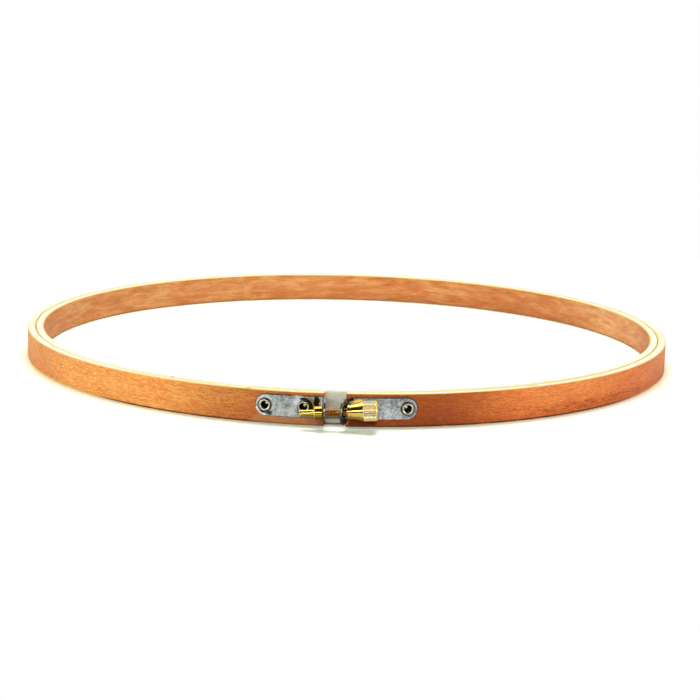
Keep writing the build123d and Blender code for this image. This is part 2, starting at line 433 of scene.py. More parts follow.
def painted_screw_shadows(sh, colour):
    """The outer face has painted shadows under the screw's head and nut, and painted greyer light below the
    left strap.
    """
    outside = sh.ramp(sh.radius, 128.6, 129.2)
    # painted shadows under the screw's head and under the nut
    for first, last, top, strength in ((1.6, 6.8, 3.7, 0.86), (-4.6, -1.2, 2.6, 0.6)):
        under = sh.times(sh.band(sh.around, first, last, 0.9), sh.band(sh.ragged_up, 0.3, top, 0.6))
        colour = sh.mix(sh.times(under, outside, strength), colour, srgb(92, 30, 4))
    # painted greyer light below the left strap
    grey_light_below_strap = sh.times(sh.band(sh.around, -14, -1, 2.5), sh.ramp(sh.up, 3.2, 2.4), outside, 0.45)
    return sh.mix(grey_light_below_strap, colour, srgb(196, 146, 100))


def scuffed(sh, colour, angle, half_angle, at_radius, half_width):
    """A small dark scuff on the sanded edge."""
    away = sh.joined(sh.over(sh.minus(sh.around, angle), half_angle),
                     sh.over(sh.minus(sh.radius, at_radius), half_width), 0.0)
    fray = sh.noise(sh.scaled(sh.even, 1 / 0.7, 1 / 0.3, 1.0), 2.0, 0.6)
    ragged = sh.line(fray, 0.3, 0.7, -0.6, 0.6)
    spot = sh.ramp(sh.plus(sh.length(away), ragged), 1.1, 0.6)
    return sh.mix(sh.times(spot, sh.edge, 0.85), colour, srgb(92, 84, 78))


def wood(name, seam, wall, raw_face, left, right, grain, edge_tone, scuffs):
    """Varnished bent wood with pale sanded edges.

    wall is the ring's radii and raw_face the radii between which a side face is bare. left and right are
    the tones of the two halves, the left painted lighter and the right darker as painted light, grain the
    strengths of (speckle, fibre, patch), and edge_tone how yellow the sanded edge is near its corners. A
    scuff is (angle, half its angle, radius, half its width)."""
    sh = WoodShade(name, seam)
    colour = grained(sh, painted_light_round(sh, left, right), *grain)
    colour = bare_side(sh, colour, *raw_face)
    colour = golden_corners(sh, colour)
    colour = sanded_edge(sh, colour, wall, edge_tone)
    colour = painted_foot_light(sh, colour)
    colour = painted_screw_shadows(sh, colour)
    for scuff in scuffs:
        colour = scuffed(sh, colour, *scuff)
    height = sh.plus(sh.times(sh.fibre, 0.5), sh.times(sh.speckle, 0.3))
    height = sh.minus(height, sh.times(sh.pores, 0.6))
    rough = sh.plus(sh.ramp(sh.patch, 0.3, 0.7, 0.38, 0.5), sh.times(sh.edge, 0.12))
    return sh.finish(Base_Color=colour, Roughness=rough, IOR=1.46, Specular_IOR_Level=0.16,
                     Normal=sh.bump(height, 0.00007, 0.6))


# Metals
def scratches(sh, p):
    """Fine scratches in four directions."""
    found = []
    for angle, stretch in ((12, 9.0), (-31, 8.0), (64, 7.0), (-78, 10.0)):
        spun = sh.node("VectorRotate", {"Vector": p, "Angle": radians(angle), "Axis": (0.1, 1, 0.15)},
                       rotation_type="AXIS_ANGLE").outputs[0]
        streaks = sh.noise(sh.scaled(spun, 1 / stretch, 1.0, 7.0), 2.0, 0.5)
        found.append(sh.ramp(streaks, 0.64, 0.72))
    return sh.most(*found)


def pits(sh, p):
    """Small round pits in some of a pattern's cells."""
    cells = sh.node("TexVoronoi", {"Vector": p, "Scale": 1.9, "Randomness": 1.0}).outputs
    pick = sh.node("SeparateColor", {0: cells["Color"]}).outputs[1]
    return sh.times(sh.ramp(cells["Distance"], 0.16, 0.05), sh.ramp(pick, 0.6, 0.7))


def zinc(sh, p, colour, lines):
    """Blotches, grey tarnish and bright scratches of worn zinc plate."""
    small, large = sh.noise(p, 3.0, 0.65, 0.3, 1.3), sh.noise(p, 2.0, 0.5, 0.5, 0.3)
    spots = sh.plus(sh.times(small, 0.55), sh.times(large, 0.45))
    blotch = sh.mix(sh.line(spots, 0.4, 0.6), (0.5, 0.51, 0.52, 1), grey(1.74))
    colour = sh.tinted(1.0, colour, blotch)
    tarnish = sh.noise(sh.scaled(p, 0.5, 0.5, 2.6), 3.0, 0.6, 0.4)
    colour = sh.mix(sh.ramp(tarnish, 0.56, 0.66, 0.0, 0.4), colour, srgb(132, 136, 140))
    return sh.mix(sh.times(lines, 0.5), colour, srgb(236, 240, 242))


def metal(name, tone, stain, rough, scratch=0.5, plated=False, turned_marks=None, tint=None, dull=None):
    """Polished or plated metal with fine scratches, pits and an uneven film.

    rough is (least, most), scratch the scratches' depth and turned_marks the tool marks to a millimetre.
    tint(shade, place, colour) adds painted light, shade and reflections, with some grease and oil, and
    dull(shade, place) roughness."""
    sh = Shade(name)
    p = sh.place_mm()
    cloud = sh.noise(p, 4.0, 0.6, 0.4, 0.35)
    lines = scratches(sh, p)
    pit = pits(sh, p)
    colour = sh.mix(sh.ramp(cloud, 0.35, 0.75, 0.0, 0.55), tone, stain)
    if plated:
        colour = zinc(sh, p, colour, lines)
    colour = sh.mix(sh.times(pit, 0.5), colour, (0.05, 0.045, 0.04, 1))
    if tint:
        colour = tint(sh, p, colour)
    roughness = sh.plus(sh.ramp(cloud, 0.3, 0.7, *rough), sh.times(lines, 0.1))
    if dull:
        roughness = sh.plus(roughness, dull(sh, p))
    grainy = sh.noise(p, 3.0, 0.7, 0.0, 5.0)
    height = sh.minus(sh.minus(sh.times(grainy, 0.25), sh.times(lines, scratch)), pit)
    if turned_marks:
        rings = sh.noise(sh.scaled(p, 0.05, 0.05, turned_marks), 2.0, 0.6)
        height = sh.plus(height, sh.times(rings, 0.8))
        height = sh.times(height, sh.ramp(sh.off_axis(p), 3.15, 3.3, 1.0, 0.25))
    return sh.finish(Base_Color=colour, Metallic=1.0, Roughness=roughness,
                     Normal=sh.bump(height, 0.000012, 0.5))


def painted_rivet_shade(sh, p, colour):
    """Painted shade on the rivet: the bore black, partly old grease, but bright metal at its bottom to catch
    a glint, a dark ring on the rim's outer slope and a black crease where the rim meets the strap.
    """
    r = sh.off_axis(p)
    depth = sh.split(p)[2]
    # painted shade in the bore, partly old grease
    inside = sh.times(sh.ramp(r, 1.42, 1.34), sh.ramp(depth, 3.3, 3.1), sh.ramp(r, 0.3, 0.5))
    colour = sh.mix(inside, colour, (0.006, 0.005, 0.004, 1))
    # painted shadow ring on the rim's outer slope
    rim_shadow = sh.band(r, 1.88, 2.3, 0.08)
    colour = sh.mix(sh.times(rim_shadow, sh.ramp(depth, 3.2, 3.3), 0.82), colour, srgb(84, 78, 56))
    glint_floor = sh.times(sh.ramp(r, 0.5, 0.36), sh.ramp(depth, 0.95, 0.9))
    colour = sh.mix(glint_floor, colour, (0.93, 0.93, 0.9, 1))
    # painted black shade in the crease where the rim meets the strap
    seam = sh.times(sh.ramp(r, 2.05, 2.2), sh.ramp(depth, 3.45, 3.33))
    return sh.mix(seam, colour, (0.02, 0.017, 0.012, 1))


def on_grip(sh, p, fade):
    """One along the knurled grip, fading out over this length at its start."""
    along = sh.split(p)[2]
    first, last = FLANGE + 5.5, FLANGE + 9.9
    return sh.times(sh.ramp(along, first, first + fade), sh.ramp(along, last, last - 0.2))


def painted_grip_light(sh, p, colour):
    """The grip is painted brighter than the rest of the brass, with painted shade in its valleys and a
    painted near-white highlight on its crests.
    """
    r = sh.off_axis(p)
    grip = on_grip(sh, p, 0.3)
    # the grip painted brighter than the rest of the brass
    colour = sh.mix(sh.times(grip, 0.85), colour, srgb(255, 238, 140))
    # painted shade in the grip's valleys
    colour = sh.mix(sh.times(grip, sh.ramp(r, 3.4, 3.22), 0.55), colour, srgb(206, 158, 40))
    # painted highlight on the grip's crests
    return sh.mix(sh.times(grip, sh.ramp(r, 3.42, 3.48), 0.95), colour, srgb(255, 253, 244))


def dull_flanks(sh, p):
    """The grip's teeth are polished on their crests only."""
    return sh.times(on_grip(sh, p, 0.2), sh.ramp(sh.off_axis(p), 3.49, 3.38), 0.26)


def oil_and_shade_in_thread(sh, p, colour):
    """Darker in the valleys of the thread: old oil and painted shade."""
    return sh.mix(sh.times(sh.ramp(sh.off_axis(p), 1.3, 1.17), 0.6), colour, srgb(118, 90, 50))


class StrapPlace:
    """A strap's places in mm: s is the distance from its bend and v the height from its middle."""

    def __init__(self, sh, p, hand):
        self.sh = sh
        x, y, up = sh.split(p)[0:3]
        self.radius = sh.off_axis(p)
        around = sh.math("ARCTAN2", x, sh.times(y, -1.0))
        self.s = sh.minus(sh.times(around, OUTER_OUT * SIDES[hand]), BEND_AT[hand])
        self.v = sh.minus(up, STRAP_MIDDLE)
        self.ragged = sh.line(sh.noise(p, 3.0, 0.6, 0.3, 1.3), 0, 1, -0.3, 0.3)
        beyond_tip = sh.most(sh.minus(self.s, STRAP_TIP), 0.0)
        self.outline = sh.length(sh.joined(beyond_tip, self.v, 0.0))

    def away(self, at_s, at_v, half_s=1.0, half_v=1.0):
        """Distance from a place, in shares of these half sizes."""
        sh = self.sh
        return sh.length(sh.joined(sh.over(sh.minus(self.s, at_s), half_s),
                                   sh.over(sh.minus(self.v, at_v), half_v), 0.0))

    def spot(self, at_s, at_v, half_s, half_v, soft=0.5):
        """An oval spot with a ragged edge."""
        distance = self.sh.plus(self.away(at_s, at_v, half_s, half_v), self.ragged)
        return self.sh.ramp(distance, 1.0 + soft / 2, 1.0 - soft / 2)


def painted_strap_edges(sh, at, colour, ear_shade):
    """Painted light and shade on a strap: the ear shaded darker, a painted highlight along the strap's edge,
    painted shade along its upper edge and in the creases round its rivets.
    """
    strap = sh.ramp(at.radius, 131.6, 131.2)
    # the ear painted darker than the strap
    colour = sh.tinted(sh.ramp(at.radius, 131.2, 131.9), colour, ear_shade)
    # painted highlight along the strap's edge
    bright = sh.times(strap, sh.band(at.outline, 3.2, 3.66, 0.12), 0.35)
    colour = sh.mix(bright, colour, srgb(206, 212, 212))
    upper = sh.ramp(at.v, -2.4, 1.2, 0.35, 1.0)
    # painted shade along the strap's edge, strongest at the top
    dark = sh.times(strap, upper, sh.ramp(at.outline, 3.56, 3.74), 0.9)
    colour = sh.mix(dark, colour, srgb(50, 53, 52))
    for rivet_at in (NEAR_RIVET, FAR_RIVET):
        # painted shade in the crease round each rivet
        crease_shade = sh.times(strap, sh.band(at.away(rivet_at, 0.0), 1.5, 2.6, 0.14))
        colour = sh.mix(sh.times(crease_shade, 0.82), colour, srgb(36, 34, 28))
    return colour


def painted_reflections_left(sh, p, colour):
    """Painted reflections on the left strap: a bright crescent and a dark spot at its tip, a bright patch,
    dark and brown arcs above the near rivet and a dark patch by the bend.
    """
    at = StrapPlace(sh, p, "left")
    colour = painted_strap_edges(sh, at, colour, srgb(190, 194, 184))
    tip = at.away(STRAP_TIP, 0.0)
    # painted dark and bright reflections on the tip's lower corner
    corner = sh.times(sh.ramp(at.s, 18.7, 19.4), sh.ramp(at.v, -0.5, -1.1))
    colour = sh.mix(sh.times(corner, sh.band(tip, 2.5, 3.05, 0.15), 0.92), colour, srgb(24, 24, 26))
    colour = sh.mix(sh.times(corner, sh.band(tip, 2.98, 3.88, 0.16)), colour, srgb(254, 254, 255))
    # painted dark reflection near the tip
    colour = sh.mix(sh.times(at.spot(17.55, -2.85, 1.05, 0.75), 0.9), colour, srgb(34, 34, 38))
    # painted bright reflection beside the near rivet
    colour = sh.mix(sh.times(at.spot(7.8, 2.0, 1.5, 1.9, 1.5), 0.9), colour, srgb(240, 242, 244))
    rho = at.away(NEAR_RIVET, 0.0)
    slant = sh.times(sh.minus(at.s, NEAR_RIVET), 0.9)
    above = sh.ramp(sh.minus(at.v, slant), 1.0, 2.0)
    # painted black reflection arc above the near rivet
    colour = sh.mix(sh.times(above, sh.band(rho, 2.3, 3.4, 0.22), 0.97), colour, srgb(14, 13, 14))
    by_bend = sh.ramp(at.s, NEAR_RIVET + 0.2, NEAR_RIVET - 1.4)
    # painted brown reflection arc above the near rivet, toward the bend
    brown_reflection = sh.times(above, by_bend, sh.band(rho, 3.2, 4.15, 0.25), 0.9)
    colour = sh.mix(brown_reflection, colour, srgb(172, 126, 62))
    # painted dark reflection by the bend
    return sh.mix(sh.times(at.spot(1.25, 2.1, 1.0, 2.0, 0.35), 0.96), colour, srgb(16, 17, 20))


def painted_reflections_right(sh, p, colour):
    """Painted reflections on the right strap: a dark spot at the bend and a grey line inside the tip's upper
    edge.
    """
    at = StrapPlace(sh, p, "right")
    colour = painted_strap_edges(sh, at, colour, srgb(176, 182, 178))
    # painted dark reflection at the bend
    colour = sh.mix(sh.times(at.spot(-0.3, 3.2, 0.9, 0.6), 0.95), colour, srgb(12, 11, 18))
    # painted grey line inside the tip's upper edge
    near_edge = sh.band(at.outline, 3.1, 3.4, 0.12)
    inner_line = sh.times(near_edge, sh.ramp(at.v, 0.4, 1.6), sh.ramp(at.s, 15.5, 17))
    return sh.mix(sh.times(inner_line, 0.75), colour, srgb(74, 78, 80))


# The rings' left and right tones are painted light: the left half lit lighter, the right half shaded darker.
outer_wood = wood("outer_wood", seam=0.0, wall=(OUTER_IN, OUTER_OUT), raw_face=(120.0, 121.0),
                  left=srgb(254, 172, 88), right=srgb(246, 143, 72), grain=(0.7, 0.45, 0.22), edge_tone=0.9,
                  scuffs=((-13.6, 0.55, 129.8, 0.45), (33.0, 1.3, 129.0, 0.28)))
inner_wood = wood("inner_wood", seam=155.0, wall=(INNER_IN, INNER_OUT), raw_face=(126.75, 127.6),
                  left=srgb(234, 158, 93), right=srgb(229, 149, 87), grain=(0.35, 0.5, 0.7), edge_tone=0.2,
                  scuffs=((-27.6, 0.5, 126.5, 0.3),))
# The two straps are one steel, toned darker and greener on the left than on the right: a painted difference
# in reflected light.
steel = {"left": metal("strap_steel_left", srgb(168, 174, 169), srgb(146, 152, 148), (0.2, 0.32),
                       scratch=0.7, plated=True, tint=painted_reflections_left),
         "right": metal("strap_steel_right", srgb(174, 176, 176), srgb(144, 146, 148), (0.2, 0.32),
                        scratch=0.7, plated=True, tint=painted_reflections_right)}
rivet_metal = metal("rivet_metal", srgb(222, 218, 190), srgb(186, 178, 144), (0.22, 0.32), turned_marks=4.0,
                    tint=painted_rivet_shade)
brass = metal("screw_brass", srgb(246, 212, 112), srgb(232, 190, 86), (0.03, 0.07), turned_marks=5.0,
              tint=painted_grip_light, dull=dull_flanks)
# The rod's brass is toned more orange than the head's: painted warm light reflected from the wood.
rod_brass = metal("rod_brass", srgb(246, 186, 98), srgb(226, 164, 84), (0.12, 0.22), turned_marks=5.0,
                  tint=oil_and_shade_in_thread)
nut_brass = metal("nut_brass", srgb(240, 190, 94), srgb(220, 166, 70), (0.03, 0.07), turned_marks=5.0)


# The two rings
def profile(inside, outside, inset, edge_round):
    """A ring's eased section: each point's (radius, height), and 1 in mid corner down to 0 on the flats."""
    e = max(edge_round - inset, 0.06)
    r0, r1, z0, z1 = inside + inset + e, outside - inset - e, inset + e, HEIGHT - inset - e
    corner_steps = 6
    corners = [((r1, z0), -90), ((r1, z1), 0), ((r0, z1), 90), ((r0, z0), 180)]
    arcs = [arc_points(centre, e, start, start + 90, corner_steps) for centre, start in corners]
    out = []
    for arc, next_arc, steps in zip(arcs, arcs[1:] + arcs[:1], (10, 4, 10, 4)):
        out += [(point, sin(pi * i / corner_steps)) for i, point in enumerate(arc)]
        (r, z), (next_r, next_z) = arc[-1], next_arc[0]
        for i in range(1, steps):
            t = i / steps
            out.append(((r + (next_r - r) * t, z + (next_z - z) * t), 0.0))
    return out


def shaped(point, weight, angle, seed, proud):
    """A section point's place at this angle, with the slight unevenness of sanded wood."""
    r, z = point
    s = angle * MEAN_RADIUS
    top = z / HEIGHT
    r += 0.035 * wave(s / 60, seed) + weight * 0.05 * wave(s / 3.5, seed + 5)
    z += top * (0.05 * wave(s / 35, seed + 2) + proud(degrees(angle)))
    z += weight * 0.04 * wave(s / 2.7, seed + 9) * top
    return (r * sin(angle), -r * cos(angle), z)


def closed_ring(name, material, seed, proud, steps=1080):
    """The inner ring, whole."""
    section = profile(INNER_IN, INNER_OUT, 0.0, INNER_ROUND)

    def point(i, j):
        return shaped(*section[j], tau * i / steps, seed, proud)

    return add_object(name, *grid(steps, len(section), point, closed=True), [material])


def split_ring(name, material, seed, proud, steps=1080):
    """The outer ring from one cut end round to the other, with parallel eased ends."""
    ends = []
    for a in (0, 20, 40, 60, 75, 90):
        ends.append((END_ROUND * (1 - cos(radians(a))), END_ROUND * (1 - sin(radians(a)))))
    rows = [(0.0, offset, inset) for offset, inset in ends]
    rows += [(i / steps, END_ROUND, 0.0) for i in range(1, steps)]
    rows += [(1.0, offset, inset) for offset, inset in reversed(ends)]
    sections = [profile(OUTER_IN, OUTER_OUT, inset, OUTER_ROUND) for share, offset, inset in rows]
    n = len(sections[0])

    def point(i, j):
        share, offset, inset = rows[i]
        (r, z), weight = sections[i][j]
        first = asin((GAP / 2 + offset) / r)
        return shaped((r, z), weight, first + (tau - 2 * first) * share, seed, proud)

    verts, faces = grid(len(rows), n, point)
    faces.append(list(range(n))[::-1])
    faces.append(list(range(len(verts) - n, len(verts))))
    return add_object(name, verts, faces, [material])


def no_rise(angle):
    return 0.0


def front_right_rise(angle):
    """The inner ring stands slightly above the outer one at the front right."""
    highest_at, spread = 32, 42
    away = (angle - highest_at + 180) % 360 - 180
    return 0.26 * exp(-(away / spread) ** 2) - 0.02


def rivet_matrix(hand, reach, distance):
    """Frame of a rivet: Z outward along the radius, origin at this distance from the ring's axis."""
    a = SIDES[hand] * (BEND_AT[hand] + reach) / OUTER_OUT
    outward = Vector((sin(a), -cos(a), 0))
    along = Vector((cos(a), sin(a), 0))
    turn = Matrix((along, outward.cross(along), outward)).transposed().to_4x4()
    return Matrix.Translation((outward * distance + Vector((0, 0, STRAP_MIDDLE))) * MM) @ turn


def outer_ring():
    """The split ring with its four stepped rivet holes."""
    ring = split_ring("outer_ring_wood", outer_wood, 3, no_rise)
    inner_end, outer_end = -3.0, 4.5
    stepped = [(0, inner_end), (SEAT_RADIUS, inner_end), (SEAT_RADIUS, 0.0), (RIVET_HOLE, 0.0),
               (RIVET_HOLE, outer_end), (0, outer_end)]
    holes = []
    for hand in SIDES:
        for reach in (NEAR_RIVET, FAR_RIVET):
            holes.append(cutter(stepped, outer_wood, rivet_matrix(hand, reach, OUTER_IN + SEAT_DEPTH)))
    cut_away(ring, holes, 40)
    dress(ring, "outer_ring", "outer_ring")


def inner_ring():
    ring = closed_ring("inner_ring_wood", inner_wood, 8, front_right_rise)
    dress(ring, "inner_ring", "inner_ring")


outer_ring()
inner_ring()


# Steel straps: a flat blank with a round eye and a round tip, bent to shape
class BentStrap:
    """Where the blank's points lie: x along it from the eye's centre, v up and w out from its middle."""

    def __init__(self, hand):
        self.side, lean = SIDES[hand], LEAN[hand]
        self.start = BEND_AT[hand] / OUTER_OUT
        self.middle, self.bend_middle = OUTER_OUT + SHEET / 2, BEND + SHEET / 2
        self.centre = Vector((sin(self.start), -cos(self.start))) * (OUTER_OUT + SHEET + BEND)
        self.to_gap, self.outward = Vector((-cos(lean), sin(lean))), Vector((-sin(lean), -cos(lean)))
        root_y = self.centre.y + self.bend_middle * sin(lean)
        self.ear = (root_y - SCREW_AT[1]) / cos(lean)
        self.strap_at = self.ear + self.bend_middle * (pi / 2 - self.start - lean)
        stretch = self.middle / OUTER_OUT
        self.tip_at = self.strap_at + STRAP_TIP * stretch
        self.rivets = [self.strap_at + reach * stretch for reach in (NEAR_RIVET, FAR_RIVET)]

    def dented(self, x, v, w):
        """Presses the outer face in round the rivets and makes it slightly uneven."""
        dent_edge, dent_slope, dent_depth, unevenness = 3.45, 1.15, 0.13, 0.014
        for rivet_at in self.rivets:
            r = sqrt((x - rivet_at) ** 2 + v * v)
            t = min(1.0, max(0.0, (dent_edge - r) / dent_slope))
            w -= dent_depth * t * t * (3 - 2 * t) * (w > 0)
        if w > 0:
            w += unevenness * noise.fractal(Vector((x / 4.5, v / 3.0, self.side * 9.0)), 0.8, 2.0, 2)
        return w

    def place(self, x, v, w):
        if x > self.strap_at:
            w = self.dented(x, v, w)
            a = self.start + (x - self.strap_at) / self.middle
            flat = Vector((sin(a), -cos(a))) * (self.middle + w)
        elif x > self.ear:
            a = pi / 2 + self.start + (self.strap_at - x) / self.bend_middle
            flat = self.centre + Vector((cos(a), sin(a))) * (self.bend_middle - w)
        else:
            flat = self.centre + self.to_gap * (self.bend_middle - w) + self.outward * (self.ear - x)
        return (self.side * flat.x, flat.y, STRAP_MIDDLE + v)

    def eye_matrix(self):
        """Frame of the screw hole: Z square to the ear."""
        eye = self.centre + self.to_gap * self.bend_middle + self.outward * self.ear
        axis = Vector((self.side * self.to_gap.x, self.to_gap.y, 0))
        place = Vector((self.side * eye.x, eye.y, STRAP_MIDDLE - EYE_DROP))
        return Matrix.Translation(place * MM) @ axis.to_track_quat("Z", "Y").to_matrix().to_4x4()


def blank_half(inset, tip_at):
    """Half outline of the flat blank from eye to tip, as (x, half width)."""
    half = STRAP_WIDTH / 2
    fillet_at = sqrt((EYE + NECK) ** 2 - (half + NECK) ** 2)
    meet = degrees(atan2(half + NECK, fillet_at))
    out = arc_points((0, 0), EYE - inset, 180, meet, 30)
    out += arc_points((fillet_at, half + NECK), NECK + inset, 180 + meet, 270, 6)[1:]
    steps = 96
    out += [(fillet_at + (tip_at - fillet_at) * i / steps, half - inset) for i in range(1, steps)]
    out += arc_points((tip_at, 0), half - inset, 90, 0, 26)
    return [(x, max(h, 0.0)) for x, h in out]


def sheet_edge():
    """Steps over the cut edge from the outer face to the inner, each (inset, height from the middle)."""
    half, outer, inner = SHEET / 2, 0.3, 0.12
    levels = []
    for a in (0, 18, 36, 54, 72, 90):
        levels.append((outer - outer * sin(radians(a)), half - outer + outer * cos(radians(a))))
    levels.append((0.0, -half + inner + 0.02))
    for a in (30, 60, 90):
        levels.append((inner - inner * cos(radians(a)), -half + inner - inner * sin(radians(a))))
    return levels


def fill_face(half, loop, w, place, verts, rows=36):
    """Faces that fill a loop of the outline; adds their points to verts."""
    last = len(half) - 1
    table = []
    for i, (x, h) in enumerate(half):
        if i in (0, last):
            table.append([loop[i]] * (rows + 1))
            continue
        column = [loop[2 * last - i]]
        for j in range(1, rows):
            column.append(len(verts))
            verts.append(place(x, h * (2 * j / rows - 1), w))
        table.append(column + [loop[i]])
    faces = []
    for near, far in zip(table, table[1:]):
        for j in range(rows):
            faces.append(without_repeats(near[j], far[j], far[j + 1], near[j + 1]))
    return faces


def strap_sheet(bent):
    """The bent strap as points and faces: its cut edge, outer face and inner face."""
    levels = sheet_edge()
    halves = [blank_half(inset, bent.tip_at) for inset, w in levels]
    outlines = [half + [(x, -h) for x, h in half[-2:0:-1]] for half in halves]
    count = len(outlines[0])

    def point(i, j):
        return bent.place(*outlines[i][j], levels[i][1])

    verts, faces = grid(len(levels), count, point)
    inner_loop = range(len(verts) - count, len(verts))
    outer_face = fill_face(halves[0], range(count), levels[0][1], bent.place, verts)
    inner_face = fill_face(halves[-1], inner_loop, levels[-1][1], bent.place, verts)
    faces += [face[::-1] for face in outer_face] + inner_face
    if bent.side < 0:
        faces = [face[::-1] for face in faces]
    return verts, faces


def through_hole(radius, half_length, material, matrix):
    outline = [(0, -half_length), (radius, -half_length), (radius, half_length), (0, half_length)]
    return cutter(outline, material, matrix)


def strap(hand):
    """One strap with its screw hole and two rivet holes."""
    bent = BentStrap(hand)
    material = steel[hand]
    sheet = add_object(hand + "_bracket_bent", *strap_sheet(bent), [material], 50)
    holes = [through_hole(EYE_HOLE, 3, material, bent.eye_matrix())]
    for reach in (NEAR_RIVET, FAR_RIVET):
        holes.append(through_hole(RIVET_HOLE, 2, material, rivet_matrix(hand, reach, OUTER_OUT)))
    cut_away(sheet, holes, 50)
    dress(sheet, hand + "_bracket", "outer_ring")


for hand in SIDES:
    strap(hand)


# Rivets
def rivet_outline():
    """Half section of the semi-tubular rivet, from its bore over its rolled rim to its flat head."""
    tube, bore, rim, stack = 1.65, 1.32, 2.23, 3.25
    head_radius, head_height, head_edge = 2.9, 0.5, 0.15
    out = [(0, 0.3), (0.9, 0.58), (bore - 0.06, 0.68), (bore, 0.8), (bore, stack - 0.1)]
    out += arc_points(((rim + bore) / 2, stack + 0.12), (rim - bore) / 2, 180, 0, 20)
    out += [(rim - 0.02, stack + 0.04), (rim - 0.1, stack + 0.01), (tube, stack - 0.02), (tube, 0.0)]
    out += [(head_radius, 0.0)]
    out += arc_points((head_radius - head_edge, head_edge - head_height), head_edge, 0, -90, 4)
    out += [(0, -head_height)]
    return out


def rivet(hand, place_name, reach):
    node = f"{hand}_{place_name}_rivet"
    verts, faces = lathe(rivet_outline(), ROUND_STEPS)
    turned = add_object(node + "_turned", verts, [face[::-1] for face in faces], [rivet_metal], 50)
    turned.matrix_world = rivet_matrix(hand, reach, OUTER_IN + SEAT_DEPTH)
    dress(turned, node, "outer_ring")


for hand in SIDES:
    rivet(hand, "near", NEAR_RIVET)
    rivet(hand, "far", FAR_RIVET)


# Thumb screw and nut, drawn along their own Z axis from the point to the grip
THREAD_END = NUT_FACE - NUT_LENGTH - 0.15
TIP = THREAD_END - 4.95
GROOVE, CONE, KNURL, HEAD_END = FLANGE + 0.95, FLANGE + 1.2, FLANGE + 5.45, FLANGE + 10.45
ROD, POINT, PITCH, THREAD_DEPTH = 1.35, 1.22, 0.5, 0.2
CONE_SMALL, CONE_LARGE, GRIP, END_EASE = 2.5, 3.38, 3.5, 0.75
TEETH, TOOTH_STEPS, TOOTH_DEPTH = 28, 16, 0.3


def screw_matrix():
    along = Vector((cos(SCREW_LEAN), 0, sin(SCREW_LEAN)))
    x_dir = Vector((0, 1, 0))
    turn = Matrix((x_dir, along.cross(x_dir), along)).transposed().to_4x4()
    return Matrix.Translation(Vector(SCREW_AT) * MM) @ turn


def threaded_rod():
    """Rod with a right-hand thread that fades out at both ends."""
    columns, step = 72, PITCH / 10
    rows = int((FLANGE + 0.05 - THREAD_END) / step)

    def point(i, j):
        z = THREAD_END + 0.13 + i * step
        t = (z / PITCH - j / columns) % 1.0
        crest = abs(2 * t - 1)
        fade = min(1.0, max(0.0, (z - THREAD_END - 0.1) / 0.5), max(0.0, (FLANGE - 0.1 - z) / 0.6))
        r = ROD - THREAD_DEPTH * min(1.0, max(0.0, (1.0 - crest) * 1.25 - 0.1)) * fade
        a = tau * j / columns
        return (r * cos(a), r * sin(a), z)

    return grid(rows, columns, point)


def rod_point():
    """Smooth point, thinner than the thread and rounded at its end."""
    end_round = 0.25
    outline = [(0, TIP + 0.02), (0.5, TIP), (0.92, TIP + 0.02)]
    outline += arc_points((0.97, TIP + end_round), end_round, -80, 0, 6)
    outline += [(POINT, TIP + 0.9), (POINT, TIP + 2.4), (POINT - 0.005, TIP + 3.6),
                (POINT, THREAD_END - 0.02), (1.25, THREAD_END + 0.02), (ROD, THREAD_END + 0.13),
                (ROD, THREAD_END + 0.14)]
    return lathe(outline, ROUND_STEPS)


def head_rows():
    """Rows of the head, each (height, radius, how deeply knurled)."""
    flange_corner = [(0.0, 2.33), (0.035, 2.42), (0.12, 2.47)]
    rows = [(FLANGE, 1.2, 0)]
    rows += [(FLANGE + rise, r, 0) for rise, r in flange_corner]
    rows += [(FLANGE + 0.45, 2.475, 0)]
    rows += [(GROOVE - rise, r, 0) for rise, r in reversed(flange_corner)]
    rows += [(GROOVE + 0.02, 2.26, 0), (GROOVE + 0.08, 2.25, 0), (CONE - 0.07, 2.25, 0),
             (CONE - 0.01, 2.3, 0), (CONE, CONE_SMALL - 0.06, 0), (CONE + 0.05, CONE_SMALL, 0)]
    cone_steps, hollow = 20, 0.05
    for i in range(1, cone_steps):
        t = i / cone_steps
        r = CONE_SMALL + (CONE_LARGE - CONE_SMALL) * t - hollow * sin(pi * t)
        rows.append((CONE + 0.05 + (KNURL - CONE - 0.1) * t, r, 0))
    rows += [(KNURL - 0.04, CONE_LARGE - 0.01, 0), (KNURL, CONE_LARGE, 0),
             (KNURL + 0.05, CONE_LARGE + 0.03, 0.25), (KNURL + 0.12, GRIP - 0.03, 0.7),
             (KNURL + 0.2, GRIP, 1.0)]
    grip_steps, ease_at = 16, HEAD_END - END_EASE
    for i in range(1, grip_steps):
        rows.append((KNURL + 0.2 + (ease_at - KNURL - 0.2) * i / grip_steps, GRIP, 1.0))
    for a in range(0, 91, 6):
        r = GRIP - END_EASE + END_EASE * cos(radians(a))
        rows.append((ease_at + END_EASE * sin(radians(a)), r, max(0.0, 1.0 - a / 24)))
    rows += [(HEAD_END, 2.4, 0), (HEAD_END - 0.02, 1.5, 0), (HEAD_END - 0.03, 0.7, 0),
             (HEAD_END - 0.03, 0.02, 0)]
    return rows


def head():
    """Flange, groove and cone turned smooth, then the knurled grip and its plain end."""
    rows = head_rows()
    columns = TEETH * TOOTH_STEPS

    def point(i, j):
        z, r, knurled = rows[i]
        away = abs(2 * ((j / TOOTH_STEPS) % 1.0) - 1)
        valley = 1 - min(1.0, (1 - away) / 0.78)
        r -= knurled * TOOTH_DEPTH * valley ** 0.85
        a = tau * j / columns
        return (r * cos(a), r * sin(a), z)

    return grid(len(rows), columns, point)


